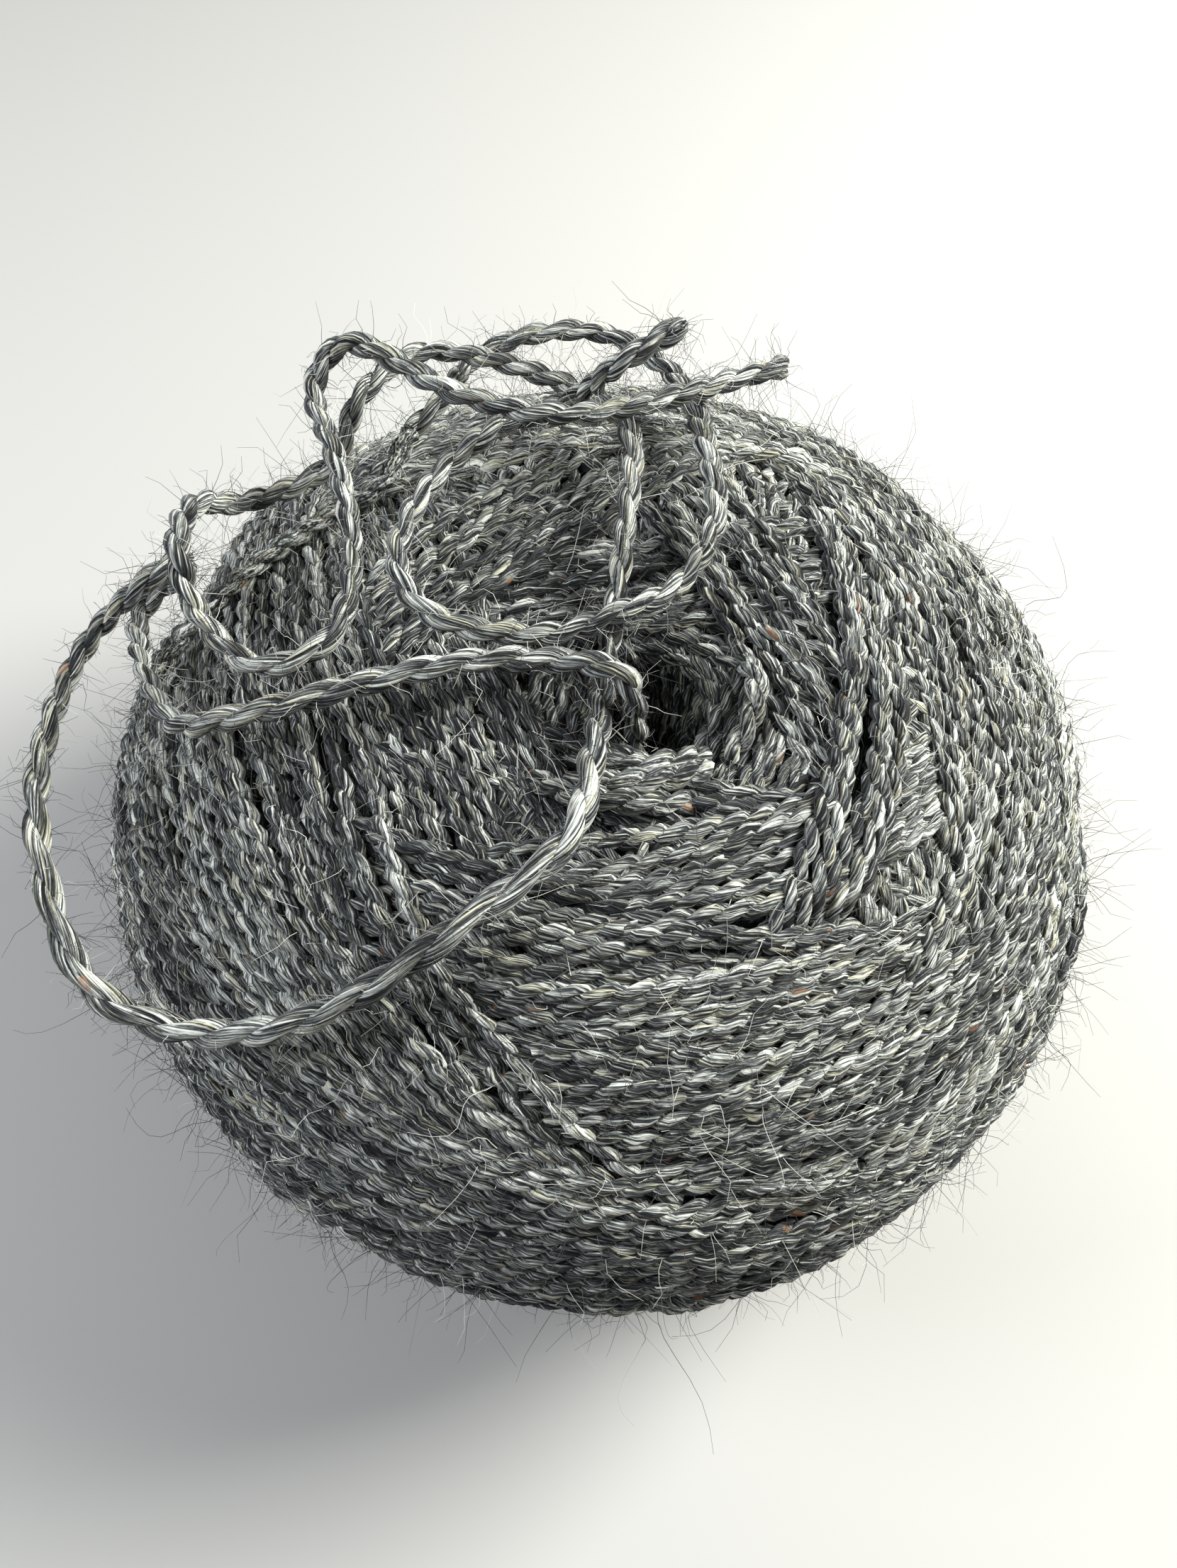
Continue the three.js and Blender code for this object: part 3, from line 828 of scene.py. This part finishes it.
def fuzzTree():
    tree, given = newTree("fuzz", {
        "Density": "Float", "Shortest": "Float", "Longest": "Float", "Fibre radius": "Float",
        "Lying down": "Float", "Curl": "Float", "Steps": "Int", "Seed": "Int", "Material": "Material"})

    seeds = [addNode(tree, "ShaderNodeMath", {0: given["Seed"], 1: float(k)}, operation="ADD")
             for k in range(5)]
    read = {name: addNode(tree, "GeometryNodeInputNamedAttribute", {"Name": name}, data_type="FLOAT_VECTOR")
            for name in ("bend", "wave")}
    roots = addNode(tree, "GeometryNodeDistributePointsOnFaces",
                    {"Mesh": given["Geometry"], "Density": given["Density"], "Seed": given["Seed"]})
    upright = addNode(tree, "ShaderNodeMath", {0: 1.0, 1: given["Lying down"]}, operation="SUBTRACT")
    outward = addNode(tree, "ShaderNodeVectorMath", {0: roots.outputs["Normal"], "Scale": upright},
                      operation="SCALE")
    anyWay = addNode(tree, "FunctionNodeRandomValue", {"Min": (-1,) * 3, "Max": (1,) * 3, "Seed": seeds[0]},
                     data_type="FLOAT_VECTOR")
    astray = addNode(tree, "ShaderNodeVectorMath", {0: anyWay, "Scale": given["Lying down"]},
                     operation="SCALE")
    leaning = addNode(tree, "ShaderNodeVectorMath", {0: outward, 1: astray}, operation="ADD")
    turned = addNode(tree, "FunctionNodeAlignRotationToVector", {"Vector": leaning}, axis="Z")
    millimetres = addNode(tree, "FunctionNodeRandomValue", {
        "Min_001": given["Shortest"], "Max_001": given["Longest"], "Seed": seeds[1]}, data_type="FLOAT")
    length = addNode(tree, "ShaderNodeMath", {0: millimetres, 1: mm}, operation="MULTIPLY")
    line = addNode(tree, "GeometryNodeCurvePrimitiveLine", {"End": (0, 0, 1)})
    stepped = addNode(tree, "GeometryNodeResampleCurve", {"Curve": line, "Count": given["Steps"]})
    marked = addNode(tree, "GeometryNodeInstanceOnPoints", {
        "Points": roots, "Instance": stepped, "Rotation": turned, "Scale": length})
    curl = addNode(tree, "ShaderNodeMath", {0: length, 1: given["Curl"]}, operation="MULTIPLY")
    for name, seed in {"bend": seeds[2], "wave": seeds[3]}.items():
        way = addNode(tree, "FunctionNodeRandomValue", {"Min": (-1,) * 3, "Max": (1,) * 3, "Seed": seed},
                      data_type="FLOAT_VECTOR")
        pull = addNode(tree, "ShaderNodeVectorMath", {0: way, "Scale": curl}, operation="SCALE")
        marked = addNode(tree, "GeometryNodeStoreNamedAttribute", {
            "Geometry": marked, "Name": name, "Value": pull}, data_type="FLOAT_VECTOR", domain="INSTANCE")
    paleness = addNode(tree, "FunctionNodeRandomValue", {"Min_001": 0.0, "Max_001": 1.0, "Seed": seeds[4]},
                       data_type="FLOAT")
    marked = addNode(tree, "GeometryNodeStoreNamedAttribute", {
        "Geometry": marked, "Name": "hairTone", "Value": paleness}, data_type="FLOAT", domain="INSTANCE")
    real = addNode(tree, "GeometryNodeRealizeInstances", {"Geometry": marked})

    # each fibre bows one way and sways another, more towards its tip
    share = addNode(tree, "GeometryNodeSplineParameter").outputs["Factor"]
    squared = addNode(tree, "ShaderNodeMath", {0: share, 1: 2.0}, operation="POWER")
    bow = addNode(tree, "ShaderNodeVectorMath", {0: read["bend"], "Scale": squared}, operation="SCALE")
    angle = addNode(tree, "ShaderNodeMath", {0: share, 1: fibreForm["swayAngle"]}, operation="MULTIPLY")
    sine = addNode(tree, "ShaderNodeMath", {0: angle}, operation="SINE")
    size = addNode(tree, "ShaderNodeMath", {0: share, 1: fibreForm["swaySize"]}, operation="MULTIPLY")
    ripple = addNode(tree, "ShaderNodeMath", {0: sine, 1: size}, operation="MULTIPLY")
    sway = addNode(tree, "ShaderNodeVectorMath", {0: read["wave"], "Scale": ripple}, operation="SCALE")
    both = addNode(tree, "ShaderNodeVectorMath", {0: bow, 1: sway}, operation="ADD")
    bent = addNode(tree, "GeometryNodeSetPosition", {"Geometry": real, "Offset": both})
    # none goes through the floor
    place = addNode(tree, "GeometryNodeInputPosition")
    onFloor = addNode(tree, "ShaderNodeVectorMath", {0: place, 1: (-1.0, -1.0, fibreForm["offFloor"] * mm)},
                      operation="MAXIMUM")
    kept = addNode(tree, "GeometryNodeSetPosition", {"Geometry": bent, "Position": onFloor})
    radius = addNode(tree, "ShaderNodeMath", {0: given["Fibre radius"], 1: mm}, operation="MULTIPLY")
    section = addNode(tree, "GeometryNodeCurvePrimitiveCircle", {
        "Resolution": fibreForm["sides"], "Radius": radius})
    thinning = addNode(tree, "ShaderNodeMath", {0: share, 1: fibreForm["tipThinner"]}, operation="MULTIPLY")
    taper = addNode(tree, "ShaderNodeMath", {0: 1.0, 1: thinning}, operation="SUBTRACT")
    marked = addNode(tree, "GeometryNodeCurveToMesh", {
        "Curve": kept, "Profile Curve": section, "Scale": taper, "Fill Caps": True})
    for name in read:
        marked = addNode(tree, "GeometryNodeRemoveAttribute", {"Geometry": marked, "Name": name})
    finishTree(tree, marked, given["Material"])
    return tree


fuzz = fuzzTree()

# Density is fibres to the square millimetre of the skin they grow from, which lies at a depth in the yarn.
# Real fibres are about 0.03 mm thick: they are drawn two to three times as thick, so that they show.
fuzzSkin = {"short": 0.3, "flyaway": 0.9, "looseRadius": 0.8, "looseSides": 6}
fuzzKinds = {
    "short": {"Density": 0.255, "Shortest": 1.5, "Longest": 6.5, "Fibre radius": 0.034,
              "Lying down": 0.88, "Curl": 0.55, "Steps": 5, "Seed": 3},
    "flyaway": {"Density": 0.021, "Shortest": 4.0, "Longest": 9.0, "Fibre radius": 0.038,
                "Lying down": 0.78, "Curl": 1.0, "Steps": 10, "Seed": 8},
    "loose": {"Density": 1.0, "Shortest": 1.0, "Longest": 4.0, "Fibre radius": 0.034,
              "Lying down": 0.65, "Curl": 0.7, "Steps": 5, "Seed": 12}}


def sleeve(points, radius, sides, tipLayers=3, tipPoints=4, aside=(0.31, 0.17, 1.0)):
    # a plain tube round a loose end for the fuzz to grow from, in more layers at the frayed tip.
    # aside is any way that the end never runs, to set the tube's corners by
    tangent = unit(np.gradient(points, axis=0))
    sideways = unit(np.cross(tangent, aside))
    upward = np.cross(tangent, sideways)
    angles = np.linspace(0, 2 * math.pi, sides, endpoint=False)
    rings = points[:, None] + radius * (np.cos(angles)[None, :, None] * sideways[:, None]
                                        + np.sin(angles)[None, :, None] * upward[:, None])
    faces = []
    for i in range(len(points) - 1):
        row, above = i * sides, (i + 1) * sides
        for j in range(sides):
            k = (j + 1) % sides
            faces.append((row + j, row + k, above + k, above + j))
    faces += faces[-sides * tipPoints:] * tipLayers
    mesh = bpy.data.meshes.new("sleeve")
    mesh.from_pydata((rings.reshape(-1, 3) * mm).tolist(), [], faces)
    return mesh


def growFuzz(name, mesh, kind):
    values = dict(fuzzKinds[kind], Material=fibreHair)
    values["Density"] = values["Density"] / mm ** 2
    piece = grow(name, mesh, fuzz, values)
    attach(piece, "root")
    print(name, "has", triangleCount(piece.data), "triangles")
    return piece


growFuzz("shortFuzz", insideBody(fuzzSkin["short"]), "short")
growFuzz("flyawayFibres", insideBody(fuzzSkin["flyaway"]), "flyaway")
for name, points in {"centreEndFuzz": centrePoints, "outerEndFuzz": outerPoints}.items():
    growFuzz(name, sleeve(points, fuzzSkin["looseRadius"], fuzzSkin["looseSides"]), "loose")


# Floor and light

studio = {
    "floorReach": 2000, "floorColour": "#b4b2ae", "floorRoughness": 0.7,
    "world": 0.25, "worldColour": "#eef0f2",
    "lights": [{"name": "window", "at": (345, 115, 330), "size": 210, "power": 5.8, "colour": "#fbfdf8"},
               {"name": "fill", "at": (-350, -30, 290), "size": 200, "power": 1.6, "colour": "#f0f6ff"}]}

reach = studio["floorReach"] * mm
floorMesh = bpy.data.meshes.new("floor")
floorMesh.from_pydata([(-reach, -reach, 0), (reach, -reach, 0), (reach, reach, 0), (-reach, reach, 0)], [],
                      [(0, 1, 2, 3)])
floor = bpy.data.objects.new("floor", floorMesh)
bpy.context.scene.collection.objects.link(floor)
board = plainMaterial("pale studio board", studio["floorColour"], studio["floorRoughness"])
floorMesh.materials.append(board)

for entry in studio["lights"]:
    light = bpy.data.lights.new(entry["name"], "AREA")
    light.energy = entry["power"]
    light.size = entry["size"] * mm
    light.color = linearColour(entry["colour"])[:3]
    lamp = bpy.data.objects.new(entry["name"], light)
    lamp.location = Vector(entry["at"]) * mm
    towardsBall = Vector(ballCentre) - Vector(entry["at"])
    lamp.rotation_euler = towardsBall.to_track_quat("-Z", "Y").to_euler()
    bpy.context.scene.collection.objects.link(lamp)
world = bpy.data.worlds.new("studio")
world.use_nodes = True
background = world.node_tree.nodes["Background"]
background.inputs["Color"].default_value = linearColour(studio["worldColour"])
background.inputs["Strength"].default_value = studio["world"]
bpy.context.scene.world = world
bpy.context.scene.view_settings.view_transform = "Standard"
print("floor and", len(studio["lights"]), "lights set")
